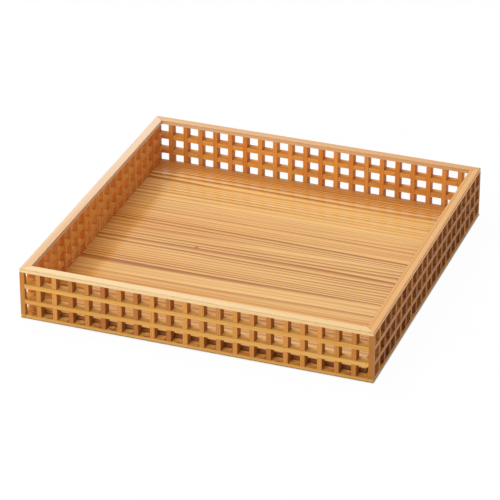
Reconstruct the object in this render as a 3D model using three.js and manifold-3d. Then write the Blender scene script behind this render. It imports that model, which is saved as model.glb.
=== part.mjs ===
import * as THREE from "three";
import { mergeVertices } from "three/addons/utils/BufferGeometryUtils.js";
import Module from "manifold-3d";

// Square cedar meal tray with open lattice walls, 300 mm across and 45 mm high.
// Millimetres, +Z up, origin under the middle of the tray at the height it stands on.
// Each wall is drawn as the front wall, facing -Y, and turned in quarter turns to its place.

// Driving dimensions
const outerSize = 300; // outside width and depth
const wallThickness = 8; // all rails and slats, measured through the wall
const topRailHeight = 3.5;
const middleRailHeight = 3.8;
const bottomRailHeight = 2.9;
const openingHeight = 10.4;
const middleRails = 2;
const slatWidth = 4;
const slatsPerWall = 20;
const postWidth = 4;
const rimChamfer = 0.5;
const floorThickness = 4.1;
const floorClearance = 0.3; // between the floor board and the walls
const battenWidth = 16;
const battenThickness = 2.6;
const battenSpacing = 90;
const battenCount = 3;
const jointClearance = 0.1; // in every lap, mortise and mitre
const slatTenonDepth = 3; // through the wall
const slatTenonLength = 1.5;
const postTenonWidth = 2;
const postTenonLength = 1.5;
const battenTenonWidth = 10;
const battenTenonThickness = 1.2;
const battenTenonLength = 4;

// Places that follow from them
const half = outerSize / 2;
const inner = half - wallThickness;
const postInner = half - postWidth;
const wallMiddle = half - wallThickness / 2;
const postMiddle = half - postWidth / 2;
const rowPitch = openingHeight + middleRailHeight;
const underTopRail = bottomRailHeight + middleRails * rowPitch + openingHeight;
const totalHeight = underTopRail + topRailHeight;
const openingWidth = (2 * postInner - slatsPerWall * slatWidth) / (slatsPerWall + 1);
const lapDepth = wallThickness / 2;

const wasm = await Module();
wasm.setup();

// Solids and booleans

function solidOf(geometry) {
  geometry.deleteAttribute("normal");
  geometry.deleteAttribute("uv");
  const merged = mergeVertices(geometry, 1e-5);
  return new wasm.Manifold(
    new wasm.Mesh({
      numProp: 3,
      vertProperties: new Float32Array(merged.attributes.position.array),
      triVerts: new Uint32Array(merged.index.array),
    }),
  );
}

function block([x0, x1], [y0, y1], [z0, z1]) {
  const geometry = new THREE.BoxGeometry(x1 - x0, y1 - y0, z1 - z0);
  geometry.translate((x0 + x1) / 2, (y0 + y1) / 2, (z0 + z1) / 2);
  return solidOf(geometry);
}

// A plan outline in X and Y raised from z0 to z1
function prism(outline, z0, z1) {
  const shape = new THREE.Shape(outline.map(([x, y]) => new THREE.Vector2(x, y)));
  const geometry = new THREE.ExtrudeGeometry(shape, { depth: z1 - z0, bevelEnabled: false });
  geometry.translate(0, 0, z0);
  return solidOf(geometry);
}

// A block around a centre point, grown by a clearance on every side
function pocket([x, y, z], [width, depth, height], grow) {
  const span = (middle, size) => [middle - size / 2 - grow, middle + size / 2 + grow];
  return block(span(x, width), span(y, depth), span(z, height));
}

// Turns a solid by whole quarter turns about Z, exactly, and wraps it as a named mesh
function pieceOf(name, solid, finish, quarterTurns = 0) {
  const mesh = solid.getMesh();
  const places = new Float32Array(mesh.numVert * 3);
  for (let i = 0; i < mesh.numVert; i++) {
    let [x, y, z] = mesh.vertProperties.subarray(i * mesh.numProp, i * mesh.numProp + 3);
    for (let turn = 0; turn < quarterTurns; turn++) {
      [x, y] = [-y, x];
    }
    places.set([x, y, z], i * 3);
  }
  const geometry = new THREE.BufferGeometry();
  geometry.setAttribute("position", new THREE.BufferAttribute(places, 3));
  geometry.setIndex(new THREE.BufferAttribute(mesh.triVerts, 1));
  geometry.computeVertexNormals();
  const piece = new THREE.Mesh(geometry, finish);
  piece.name = name;
  return piece;
}

function cedar(color, roughness) {
  return new THREE.MeshStandardMaterial({ color, roughness, metalness: 0 });
}

const rimWood = cedar(0xf0c488, 0.5);
const railWood = cedar(0xd79c55, 0.6);
const slatWood = cedar(0xb4713a, 0.6);
const postWood = cedar(0xb57a35, 0.6);
const boardWood = cedar(0xe6ab68, 0.45);
const battenWood = cedar(0xc98f52, 0.7);

// Lattice places

function slatSpan(index) {
  const start = -postInner + openingWidth + index * (openingWidth + slatWidth);
  return [start, start + slatWidth];
}

function middleRailSpan(index) {
  const start = bottomRailHeight + openingHeight + index * rowPitch;
  return [start, start + middleRailHeight];
}

const slatIndexes = [...Array(slatsPerWall).keys()];
const railIndexes = [...Array(middleRails).keys()];
const grown = ([from, to]) => [from - jointClearance, to + jointClearance];
const mirrored = (outline) => outline.map(([x, y]) => [-x, y]).reverse();

// Half of a rail's plan: it butts against the post, and is mitred to its neighbour behind the post
const buttedEnd = [
  [postInner, -half],
  [postInner, -postInner - jointClearance],
  [inner - jointClearance, -inner],
];
// The rail that runs on under the post, so that its end shows at the corner
const throughEnd = [
  [half, -half],
  [half, -postInner - jointClearance],
  [postInner, -postInner - jointClearance],
  [inner - jointClearance, -inner],
];
const railPlan = (end) => [...mirrored(end), ...end];

// Top rail: one length of each side of the rim, eased on its upper edges and mitred at the corners
function topRail() {
  const section = new THREE.Shape(
    [
      [-half, underTopRail],
      [-inner, underTopRail],
      [-inner, totalHeight - rimChamfer],
      [-inner - rimChamfer, totalHeight],
      [-half + rimChamfer, totalHeight],
      [-half, totalHeight - rimChamfer],
    ].map(([y, z]) => new THREE.Vector2(y, z)),
  );
  const bar = new THREE.ExtrudeGeometry(section, { depth: outerSize, bevelEnabled: false });
  bar.rotateX(Math.PI / 2);
  bar.rotateZ(Math.PI / 2);
  bar.translate(-half, 0, 0);
  const mitred = prism(
    [
      [-half + jointClearance, -half],
      [half - jointClearance, -half],
      [inner - jointClearance, -inner],
      [-inner + jointClearance, -inner],
    ],
    underTopRail,
    totalHeight,
  );
  let rail = solidOf(bar).intersect(mitred);
  for (const index of slatIndexes) {
    rail = rail.subtract(slatTenon(index, jointClearance));
  }
  for (const side of [-1, 1]) {
    rail = rail.subtract(postTenon(side * postMiddle, underTopRail, jointClearance));
  }
  return rail;
}

function slatTenon(index, grow) {
  const [x0, x1] = slatSpan(index);
  const size = [slatWidth, slatTenonDepth, 2 * slatTenonLength];
  return pocket([(x0 + x1) / 2, -wallMiddle, underTopRail], size, grow);
}

function postTenon(x, z, grow) {
  return pocket([x, -postMiddle, z], [postTenonWidth, postTenonWidth, 2 * postTenonLength], grow);
}

function battenTenon(x, y, grow) {
  const size = [battenTenonWidth, 2 * battenTenonLength, battenTenonThickness];
  return pocket([x, y, bottomRailHeight - battenThickness / 2], size, grow);
}

// Middle rail: notched from the inside for the slats, so that it shows unbroken outside
function middleRail(index) {
  const [z0, z1] = middleRailSpan(index);
  let rail = prism(railPlan(buttedEnd), z0, z1);
  for (const slat of slatIndexes) {
    const notchDepth = [-half + lapDepth, -inner + 1];
    rail = rail.subtract(block(grown(slatSpan(slat)), notchDepth, [z0 - 1, z1 + 1]));
  }
  return rail;
}

// Bottom rail with the wall's slats glued in it: each slat is notched from the outside
function bottomRailAndSlats(runsThrough) {
  let comb = prism(railPlan(runsThrough ? throughEnd : buttedEnd), 0, bottomRailHeight);
  for (const index of slatIndexes) {
    let slat = block(slatSpan(index), [-half, -inner], [bottomRailHeight / 2, underTopRail]);
    slat = slat.add(slatTenon(index, 0));
    for (const rail of railIndexes) {
      const outside = [-half - 1, -half + lapDepth + jointClearance];
      const notch = block([slatSpan(index)[0] - 1, slatSpan(index)[1] + 1], outside, grown(middleRailSpan(rail)));
      slat = slat.subtract(notch);
    }
    comb = comb.add(slat);
  }
  if (runsThrough) {
    for (const side of [-1, 1]) {
      comb = comb.subtract(postTenon(side * postMiddle, bottomRailHeight, jointClearance));
    }
  } else {
    for (const x of battenPlaces) {
      comb = comb.subtract(battenTenon(x, -inner, jointClearance));
    }
  }
  return comb;
}

function cornerPost() {
  return block([postInner, half], [-half, -postInner], [bottomRailHeight, underTopRail])
    .add(postTenon(postMiddle, bottomRailHeight, 0))
    .add(postTenon(postMiddle, underTopRail, 0));
}

const battenPlaces = [...Array(battenCount).keys()].map(
  (index) => (index - (battenCount - 1) / 2) * battenSpacing,
);

// Batten: lies across the grain under the floor board, tenoned into the front and back rails
function batten(x) {
  const reach = inner - jointClearance;
  const body = [bottomRailHeight - battenThickness, bottomRailHeight];
  return block([x - battenWidth / 2, x + battenWidth / 2], [-reach, reach], body)
    .add(battenTenon(x, -inner, 0))
    .add(battenTenon(x, inner, 0));
}

function floorBoard() {
  const edge = inner - floorClearance;
  return block([-edge, edge], [-edge, edge], [bottomRailHeight, bottomRailHeight + floorThickness]);
}

// Assembly

const tray = new THREE.Group();
const walls = ["front", "right", "back", "left"];
const corners = ["front_right", "back_right", "back_left", "front_left"];
const railNames = ["lower", "upper"];

walls.forEach((wall, turns) => {
  const runsThrough = turns % 2 === 1;
  tray.add(pieceOf(`${wall}_top_rail`, topRail(), rimWood, turns));
  railIndexes.forEach((index) => {
    const name = `${wall}_${railNames[index] ?? `extra_${index}`}_rail`;
    tray.add(pieceOf(name, middleRail(index), railWood, turns));
  });
  tray.add(pieceOf(`${wall}_slats_and_sill`, bottomRailAndSlats(runsThrough), slatWood, turns));
});

corners.forEach((corner, turns) => {
  tray.add(pieceOf(`${corner}_post`, cornerPost(), postWood, turns));
});

tray.add(pieceOf("floor_board", floorBoard(), boardWood));
battenPlaces.forEach((x, index) => {
  tray.add(pieceOf(`batten_${index + 1}`, batten(x), battenWood));
});

export default tray;
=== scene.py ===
import math

import bpy
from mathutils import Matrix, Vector


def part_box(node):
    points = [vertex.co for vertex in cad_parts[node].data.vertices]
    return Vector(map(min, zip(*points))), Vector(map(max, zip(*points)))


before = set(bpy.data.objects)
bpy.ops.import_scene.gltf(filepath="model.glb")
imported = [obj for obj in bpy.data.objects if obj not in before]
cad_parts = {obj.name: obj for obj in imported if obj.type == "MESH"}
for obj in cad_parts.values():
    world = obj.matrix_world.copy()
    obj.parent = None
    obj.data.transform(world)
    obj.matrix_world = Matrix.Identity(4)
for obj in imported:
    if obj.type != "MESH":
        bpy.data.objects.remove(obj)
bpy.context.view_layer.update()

# The camera stands in front of the tray and a little to its right, and looks down into it.
# Its angles, distance and lens were solved from the tray's corners and lattice openings in the photograph.
camera_turn = math.radians(20.06)
camera_rise = math.radians(28.64)
camera_distance = 2.3337
camera_aim = Vector((-0.0018, -0.0138, 0.020))
camera_lens = 201.6
camera_sensor = 36.0
camera_reach = 50.0

towards_camera = Vector((
    math.sin(camera_turn) * math.cos(camera_rise),
    -math.cos(camera_turn) * math.cos(camera_rise),
    math.sin(camera_rise),
))
camera_data = bpy.data.cameras.new("camera")
camera_data.lens = camera_lens
camera_data.sensor_width = camera_sensor
camera_data.sensor_fit = "HORIZONTAL"
camera_data.clip_end = camera_reach
camera = bpy.data.objects.new("camera", camera_data)
bpy.context.scene.collection.objects.link(camera)
camera.location = camera_aim + towards_camera * camera_distance
camera.rotation_euler = towards_camera.to_track_quat("Z", "Y").to_euler()
bpy.context.scene.camera = camera

# The rim is four lengths of pale cedar, one on each wall, mitred at the corners and mortised from below.
# The slats' and posts' tenons are glued in those mortises. Each length came from another stick, so their
# tones differ a little; the left one is also painted paler and pinker, as painted light, and the right
# one keeps a thin dark line of heartwood.
along_x, along_y, along_z = 0, 1, 2
rim_roughness = 0.42
rim_edge = 0.0004
rim_line = (196, 142, 86)
rim_sticks = {
    "front": (along_x, (248, 218, 168), (240, 196, 130), 1.0),
    "right": (along_y, (250, 204, 148), (236, 176, 108), 2.2),
    "back": (along_x, (240, 200, 155), (228, 168, 108), 3.7),
    "left": (along_y, (245, 216, 186), (242, 198, 152), 5.3),
}
rim_heart_line_place = 0.1447
rim_heart_line_width = 0.0009
rim_heart_lines = {"right": (along_x, rim_heart_line_place, rim_heart_line_width)}

# Bare cedar with a thin satin finish bends and returns light much as a clear varnish does.
cedar_bending = 1.45
cedar_shine = 0.3
grain_depth = 0.0002

# Growth lines, fibres and dark bands of lines, in counts per metre across the grain and along it.
lines_across = 620.0
lines_lean = 0.35
waver_across, waver_along = 34.0, 1.1
line_waver = 2.2
fibres_across, fibres_along = 900.0, 22.0
bands_across, bands_along = 55.0, 1.2
grain_detail = 2.0

# A growth line darkens from its pale early wood to its dark late wood, and then ends sharply.
early_wood, late_wood = 0.15, 0.92
fibre_pale, fibre_dark = 0.35, 0.7
band_begins, band_full = 0.40, 0.64
line_outside_band = 0.35
fibre_share = 0.15
fibre_shift, band_shift = 1.7, 3.1
shift_slants = (1.0, 0.7, 1.3)

strip_line_share = 0.55
strip_relief = 0.25
heart_line_share = 0.6
heart_line_core = 0.3


def linear(red, green, blue):
    """A colour as a painter's 0 to 255 values, turned into the shader's linear ones."""
    def channel(value):
        share = value / 255
        return share / 12.92 if share <= 0.04045 else ((share + 0.055) / 1.055) ** 2.4

    return (channel(red), channel(green), channel(blue), 1.0)


class Wood:
    """A cedar material in the making, with short names for the nodes that it strings together."""

    def __init__(self, name, roughness):
        self.material = bpy.data.materials.new(name)
        self.material.use_nodes = True
        self.tree = self.material.node_tree
        self.shader = self.tree.nodes["Principled BSDF"]
        self.shader.inputs["Roughness"].default_value = roughness
        self.shader.inputs["IOR"].default_value = cedar_bending
        self.shader.inputs["Specular IOR Level"].default_value = cedar_shine
        coordinates = self.tree.nodes.new("ShaderNodeTexCoord")
        self.place = coordinates.outputs["Object"]
        self.facing = coordinates.outputs["Normal"]

    def plug(self, value, socket):
        """Sets a number or colour on a socket, or links another node's output to it."""
        if isinstance(value, (int, float, tuple)):
            socket.default_value = value
        else:
            self.tree.links.new(value, socket)

    def math(self, operation, first, second=None):
        node = self.tree.nodes.new("ShaderNodeMath")
        node.operation = operation
        self.plug(first, node.inputs[0])
        if second is not None:
            self.plug(second, node.inputs[1])
        return node.outputs[0]

    def split(self, vector):
        """The x, y and z shares of a vector."""
        node = self.tree.nodes.new("ShaderNodeSeparateXYZ")
        self.tree.links.new(vector, node.inputs[0])
        return node.outputs

    def stretched_noise(self, scale, detail, shift):
        mapping = self.tree.nodes.new("ShaderNodeMapping")
        mapping.inputs["Scale"].default_value = scale
        mapping.inputs["Location"].default_value = tuple(shift * slant for slant in shift_slants)
        self.tree.links.new(self.place, mapping.inputs["Vector"])
        noise = self.tree.nodes.new("ShaderNodeTexNoise")
        noise.inputs["Scale"].default_value = 1.0
        noise.inputs["Detail"].default_value = detail
        self.tree.links.new(mapping.outputs["Vector"], noise.inputs["Vector"])
        return noise.outputs["Fac"]

    def sharpened(self, value, low, high):
        """0 up to low and 1 from high on, with a soft step between them."""
        node = self.tree.nodes.new("ShaderNodeMapRange")
        node.interpolation_type = "SMOOTHSTEP"
        node.inputs["From Min"].default_value = low
        node.inputs["From Max"].default_value = high
        self.tree.links.new(value, node.inputs["Value"])
        return node.outputs["Result"]

    def mixed(self, share, first, second):
        """The first colour, with the given share of the second."""
        node = self.tree.nodes.new("ShaderNodeMix")
        node.data_type = "RGBA"
        factor, first_colour, second_colour = node.inputs[0], node.inputs[6], node.inputs[7]
        self.plug(share, factor)
        self.plug(first, first_colour)
        self.plug(second, second_colour)
        return node.outputs[2]

    def grain_noise(self, axis, across, along, shift):
        scale = [across, across, across]
        scale[axis] = along
        return self.stretched_noise(scale, grain_detail, shift)

    def grain(self, axis, shift, lines_per_metre=lines_across, waver=line_waver):
        """Growth lines and fibres along one axis, and the bands where the lines run darker."""
        place = self.split(self.place)
        first, second = [place[side] for side in (along_x, along_y, along_z) if side != axis]
        leaning = self.math("ADD", first, self.math("MULTIPLY", second, lines_lean))
        wander = self.math("MULTIPLY", self.grain_noise(axis, waver_across, waver_along, shift), waver)
        count = self.math("ADD", self.math("MULTIPLY", leaning, lines_per_metre), wander)
        line = self.sharpened(self.math("FRACT", count), early_wood, late_wood)
        fibre = self.grain_noise(axis, fibres_across, fibres_along, shift + fibre_shift)
        fibre = self.sharpened(fibre, fibre_pale, fibre_dark)
        band = self.grain_noise(axis, bands_across, bands_along, shift + band_shift)
        band = self.sharpened(band, band_begins, band_full)
        in_band = self.math("MULTIPLY", band, 1.0 - line_outside_band)
        line = self.math("MULTIPLY", line, self.math("ADD", in_band, line_outside_band))
        line = self.math("MULTIPLY", line, 1.0 - fibre_share)
        return self.math("ADD", line, self.math("MULTIPLY", fibre, fibre_share)), band

    def finish(self, colour, height, relief):
        """Gives the shader its colour, and its raised grain as bump."""
        self.tree.links.new(colour, self.shader.inputs["Base Color"])
        bump = self.tree.nodes.new("ShaderNodeBump")
        bump.inputs["Strength"].default_value = relief
        bump.inputs["Distance"].default_value = grain_depth
        self.tree.links.new(height, bump.inputs["Height"])
        self.tree.links.new(bump.outputs["Normal"], self.shader.inputs["Normal"])
        return self.material


def strip_wood(name, pale, deep, line, axis, shift, roughness, heart_line=None):
    """A strip's cedar: two tones in broad bands, growth lines along it, and now and then a heartwood line."""
    wood = Wood(name, roughness)
    fine, broad = wood.grain(axis, shift)
    tone = wood.mixed(broad, linear(*pale), linear(*deep))
    colour = wood.mixed(wood.math("MULTIPLY", fine, strip_line_share), tone, linear(*line))
    if heart_line is not None:
        side, place, width = heart_line
        away = wood.math("ABSOLUTE", wood.math("SUBTRACT", wood.split(wood.place)[side], place))
        near = wood.math("SUBTRACT", 1.0, wood.sharpened(away, width * heart_line_core, width))
        colour = wood.mixed(wood.math("MULTIPLY", near, heart_line_share), colour, linear(*line))
    return wood.finish(colour, fine, strip_relief)


# Planed strips have their sharp edges taken off with a few strokes of fine paper.
# The solids stay as they are, and only their edges are rounded over.
same_corner = 0.000005
sharp_edge = math.radians(40)
edge_steps = 2


def dress(node, material, edge):
    """Rounds a piece's edges over and gives it its wood."""
    piece = bpy.data.objects[node]
    weld = piece.modifiers.new("shared_corners", "WELD")
    weld.merge_threshold = same_corner
    bevel = piece.modifiers.new("eased_edges", "BEVEL")
    bevel.width = edge
    bevel.segments = edge_steps
    bevel.limit_method = "ANGLE"
    bevel.angle_limit = sharp_edge
    bevel.harden_normals = True
    piece.data.materials.clear()
    piece.data.materials.append(material)


for wall, (axis, pale, deep, shift) in rim_sticks.items():
    heart_line = rim_heart_lines.get(wall)
    material = strip_wood(wall + "_rim_cedar", pale, deep, rim_line, axis, shift, rim_roughness, heart_line)
    dress(wall + "_top_rail", material, rim_edge)

# The upper and lower rails run along each lattice: thin cedar strips, half-lapped over the slats from
# outside and glued, with their ends butted to the corner posts. Their long faces catch the light, so
# their colour is painted paler than the slats', as painted light.
rail_roughness = 0.5
strip_edge = 0.0003
rail_pale = (232, 176, 88)
rail_deep = (216, 152, 64)
rail_line = (158, 86, 30)
# Each wall's rails get their own tones: the right wall's outer faces are painted darker as painted shade, and
# the back and left walls, seen from inside, are painted paler and more orange as painted light.
rail_tones = {
    "front": (rail_pale, rail_deep),
    "right": ((206, 144, 68), (168, 104, 42)),
    "back": ((246, 176, 84), (232, 148, 60)),
    "left": ((250, 180, 90), (236, 150, 62)),
}
wall_axes = {"front": along_x, "right": along_y, "back": along_x, "left": along_y}
first_rail_shift = 7.0
rail_shift_step = 1.9
rail_level_shifts = {"lower": 0.0, "upper": 0.8}

for number, (wall, axis) in enumerate(wall_axes.items()):
    for level, level_shift in rail_level_shifts.items():
        shift = first_rail_shift + number * rail_shift_step + level_shift
        rail = wall + "_" + level + "_rail"
        pale, deep = rail_tones[wall]
        material = strip_wood(rail + "_cedar", pale, deep, rail_line, axis, shift, rail_roughness)
        dress(rail, material, strip_edge)

# The slats stand upright in the bottom rail, twenty in each wall, and are glued in it. Heartwood and
# sapwood strips are mixed, so each has its own tone. The bottom rail's grain runs along the wall, and
# its lowest 0.6 mm is darkened with painted shade, a contact shadow where it stands on the table.
slat_roughness = 0.6
slat_width = 0.004
slats_in_wall = 20
between_posts = 0.292
slat_gap = (between_posts - slats_in_wall * slat_width) / (slats_in_wall + 1)
slat_pitch = slat_gap + slat_width
post_to_first_strip = 0.0075
first_strip = between_posts / 2 - post_to_first_strip
sill_height = 0.0029
# The bottom rail's lowest 0.6 mm gets painted shade, a contact shadow where it stands on the table.
foot_height = 0.0006
foot_shade = (92, 58, 26)
foot_shade_share = 0.8
slat_line = (146, 78, 24)
slat_tone_spread = 0.9
slat_line_share = 0.5
slat_relief = 0.2
sill_shift = 5.0
first_slat_shift = 11.0
slat_shift_step = 2.3

# For each wall, the palest and deepest slat, and how much painted shade darkens the slats' side faces.
# The right wall's slats are painted darker as painted shade, the back and left ones paler as painted
# light, and the slats are painted darker than the rails, as painted shade on their upright grain.
slat_tones = {
    "front": ((226, 158, 74), (176, 100, 40), 0.55),
    "right": ((200, 132, 60), (138, 76, 28), 0.5),
    "back": ((246, 170, 78), (230, 138, 50), 0.2),
    "left": ((250, 176, 88), (236, 144, 58), 0.1),
}


def slat_wood(name, wall_axis, shift, palest, deepest, side_shade):
    """The cedar of a wall's slats and bottom rail, with one tone drawn for each slat, painted shade on the
    slats' side faces, and painted shade along the rail's foot.
    """
    wood = Wood(name, slat_roughness)
    place = wood.split(wood.place)
    from_first = wood.math("ADD", place[wall_axis], first_strip)
    slat_number = wood.math("FLOOR", wood.math("DIVIDE", from_first, slat_pitch))
    tone_draw = wood.tree.nodes.new("ShaderNodeTexWhiteNoise")
    tone_draw.noise_dimensions = "1D"
    wood.tree.links.new(wood.math("ADD", slat_number, shift), tone_draw.inputs["W"])

    up_grain, _ = wood.grain(along_z, shift)
    tone = wood.math("MULTIPLY", tone_draw.outputs["Value"], slat_tone_spread)
    slat = wood.mixed(tone, linear(*palest), linear(*deepest))
    slat = wood.mixed(wood.math("MULTIPLY", up_grain, slat_line_share), slat, linear(*slat_line))
    # Painted shade: the slats' side faces, which face along the wall, are darkened towards the line colour.
    on_side = wood.math("ABSOLUTE", wood.split(wood.facing)[wall_axis])
    slat = wood.mixed(wood.math("MULTIPLY", on_side, side_shade), slat, linear(*slat_line))

    sill_grain, sill_bands = wood.grain(wall_axis, shift + sill_shift)
    sill = wood.mixed(sill_bands, linear(*rail_pale), linear(*rail_deep))
    sill = wood.mixed(wood.math("MULTIPLY", sill_grain, slat_line_share), sill, linear(*rail_line))

    above_sill = wood.math("GREATER_THAN", place[along_z], sill_height)
    colour = wood.mixed(above_sill, sill, slat)
    # Painted shade: the bottom rail's lowest 0.6 mm is darkened as a contact shadow on the table.
    at_foot = wood.math("LESS_THAN", place[along_z], foot_height)
    colour = wood.mixed(wood.math("MULTIPLY", at_foot, foot_shade_share), colour, linear(*foot_shade))
    return wood.finish(colour, up_grain, slat_relief)


for number, (wall, axis) in enumerate(wall_axes.items()):
    shift = first_slat_shift + slat_shift_step * number
    material = slat_wood(wall + "_slat_cedar", axis, shift, *slat_tones[wall])
    dress(wall + "_slats_and_sill", material, strip_edge)

# The corner posts are square cedar sticks, as thick as a slat is wide, with their grain upright.
# A stub tenon at each end is glued in the bottom rail and in the rim.
post_roughness = 0.5
# The posts' colour is painted darker than the rails', as painted shade on their upright grain.
post_pale = (198, 132, 54)
post_deep = (178, 106, 36)
post_line = (130, 76, 30)
first_post_shift = 21.0

for number, corner in enumerate(("front_right", "back_right", "back_left", "front_left")):
    post = corner + "_post"
    shift = first_post_shift + number
    material = strip_wood(post + "_cedar", post_pale, post_deep, post_line, along_z, shift, post_roughness)
    dress(post, material, strip_edge)

# The floor is one straight-grained cedar board, planed and finished to a soft sheen, and laid loose
# between the walls. Its growth lines run along the front and bunch into darker bands, and one small
# knot shows left of the middle. Below its upper edge its sides are darkened with painted shade.
board_roughness = 0.26
board_varnish = 0.8
board_varnish_roughness = 0.09
board_pale = (250, 200, 124)
board_deep = (238, 172, 88)
board_line = (152, 78, 24)
board_line_share = 0.95
board_lines_across = 205.0
board_line_waver = 7.0
board_shift = 31.0
board_relief = 0.12
heartwood_scale = (1.2, 16.0, 16.0)
heartwood_shift = 33.0
heartwood_detail = 1.0
heartwood_begins, heartwood_full = 0.40, 0.62
knot_place = (-0.0540, -0.0027, 0.007)
knot_reach = 0.0024
knot_core = 0.3
knot_share = 0.75
knot_colour = (140, 78, 34)
board_side_shade = (120, 62, 26)
board_side_shade_share = 0.7
board_edge_below_face = 0.0004
board_face_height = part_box("floor_board")[1][2]


def board_wood():
    """The floor board's cedar, with its knot and painted shade on its sides."""
    wood = Wood("floor_cedar", board_roughness)
    wood.shader.inputs["Coat Weight"].default_value = board_varnish
    wood.shader.inputs["Coat Roughness"].default_value = board_varnish_roughness
    grain, _ = wood.grain(along_x, board_shift, board_lines_across, board_line_waver)
    heartwood = wood.stretched_noise(heartwood_scale, heartwood_detail, heartwood_shift)
    heartwood = wood.sharpened(heartwood, heartwood_begins, heartwood_full)
    colour = wood.mixed(heartwood, linear(*board_pale), linear(*board_deep))
    colour = wood.mixed(wood.math("MULTIPLY", grain, board_line_share), colour, linear(*board_line))

    from_knot = wood.tree.nodes.new("ShaderNodeVectorMath")
    from_knot.operation = "DISTANCE"
    wood.tree.links.new(wood.place, from_knot.inputs[0])
    from_knot.inputs[1].default_value = knot_place
    beyond = wood.sharpened(from_knot.outputs["Value"], knot_reach * knot_core, knot_reach)
    at_knot = wood.math("MULTIPLY", wood.math("SUBTRACT", 1.0, beyond), knot_share)
    colour = wood.mixed(at_knot, colour, linear(*knot_colour))

    # Painted shade: below the top face, the board's sides are darkened.
    edge_height = board_face_height - board_edge_below_face
    below_face = wood.math("LESS_THAN", wood.split(wood.place)[along_z], edge_height)
    colour = wood.mixed(wood.math("MULTIPLY", below_face, board_side_shade_share), colour, linear(*board_side_shade))
    return wood.finish(colour, grain, board_relief)


dress("floor_board", board_wood(), strip_edge)

# Three battens lie under the board across its grain and carry it. They are cedar offcuts, planed
# roughly and a little duller than the rest, with their ends tenoned into the front and back sills.
batten_roughness = 0.65
batten_pale = (206, 150, 92)
batten_deep = (184, 124, 68)
batten_shift = 41.0

for number in (1, 2, 3):
    name = "batten_cedar_%d" % number
    shift = batten_shift + number
    material = strip_wood(name, batten_pale, batten_deep, rail_line, along_y, shift, batten_roughness)
    dress("batten_%d" % number, material, strip_edge)

# The tray stands on a wide white table, which keeps the tray's faint shadow.
# To the camera and in reflections the table is nearly white, except where the tray covers it.
table_half = 6.0
table_white = (0.86, 0.86, 0.86, 1)
table_roughness = 0.9
table_glow = 0.97
covered_half = 0.150
glow_begins = covered_half + 0.0003
glow_full = covered_half + 0.0014

table_mesh = bpy.data.meshes.new("table")
table_corners = [
    (-table_half, -table_half, 0),
    (table_half, -table_half, 0),
    (table_half, table_half, 0),
    (-table_half, table_half, 0),
]
table_mesh.from_pydata(table_corners, [], [(0, 1, 2, 3)])
table = bpy.data.objects.new("table", table_mesh)
bpy.context.scene.collection.objects.link(table)

table_material = bpy.data.materials.new("white_table")
table_material.use_nodes = True
table_tree = table_material.node_tree
table_paint = table_tree.nodes["Principled BSDF"]
table_paint.inputs["Base Color"].default_value = table_white
table_paint.inputs["Roughness"].default_value = table_roughness


def table_math(operation, *values):
    node = table_tree.nodes.new("ShaderNodeMath")
    node.operation = operation
    for socket, value in zip(node.inputs, values):
        table_tree.links.new(value, socket)
    return node.outputs[0]


table_place = table_tree.nodes.new("ShaderNodeSeparateXYZ")
table_tree.links.new(table_tree.nodes.new("ShaderNodeTexCoord").outputs["Object"], table_place.inputs[0])
sideways = table_math("ABSOLUTE", table_place.outputs[along_x])
lengthways = table_math("ABSOLUTE", table_place.outputs[along_y])
open_table = table_tree.nodes.new("ShaderNodeMapRange")
open_table.interpolation_type = "SMOOTHSTEP"
open_table.inputs["From Min"].default_value = glow_begins
open_table.inputs["From Max"].default_value = glow_full
open_table.inputs["To Max"].default_value = table_glow
table_tree.links.new(table_math("MAXIMUM", sideways, lengthways), open_table.inputs["Value"])

rays = table_tree.nodes.new("ShaderNodeLightPath")
seen = table_math("MAXIMUM", rays.outputs["Is Camera Ray"], rays.outputs["Is Glossy Ray"])
glow = table_tree.nodes.new("ShaderNodeEmission")
glow.inputs["Strength"].default_value = 1.0
blend = table_tree.nodes.new("ShaderNodeMixShader")
table_tree.links.new(table_math("MULTIPLY", seen, open_table.outputs["Result"]), blend.inputs["Fac"])
table_tree.links.new(table_paint.outputs[0], blend.inputs[1])
table_tree.links.new(glow.outputs[0], blend.inputs[2])
table_tree.links.new(blend.outputs[0], table_tree.nodes["Material Output"].inputs["Surface"])
table_mesh.materials.append(table_material)

# The light is a soft studio one: an even white surround, a broad key lamp from the back left, a
# broad fill from the front left, and soft sun through a window that draws the lattice's shadows.
surround_strength = 0.5
lamps = {
    "key": ((-0.7, 0.6, 2.0), 1.6, 15),
    "fill": ((-0.7, -1.9, 1.1), 1.2, 20),
}
sun_strength = 0.7
sun_spread = math.radians(9)
towards_sun = Vector((-0.62, 0.30, 1.0))

world = bpy.data.worlds.new("surround")
bpy.context.scene.world = world
world.use_nodes = True
surround = world.node_tree.nodes["Background"]
surround.inputs["Color"].default_value = (1, 1, 1, 1)
surround.inputs["Strength"].default_value = surround_strength

for name, (place, size, watts) in lamps.items():
    lamp_data = bpy.data.lights.new(name, "AREA")
    lamp_data.shape = "SQUARE"
    lamp_data.size = size
    lamp_data.energy = watts
    lamp = bpy.data.objects.new(name, lamp_data)
    lamp.location = place
    lamp.rotation_euler = Vector(place).to_track_quat("Z", "Y").to_euler()
    bpy.context.scene.collection.objects.link(lamp)

sun_data = bpy.data.lights.new("window", "SUN")
sun_data.energy = sun_strength
sun_data.angle = sun_spread
sun = bpy.data.objects.new("window", sun_data)
sun.rotation_euler = towards_sun.to_track_quat("Z", "Y").to_euler()
bpy.context.scene.collection.objects.link(sun)

bpy.context.scene.view_settings.view_transform = "Standard"
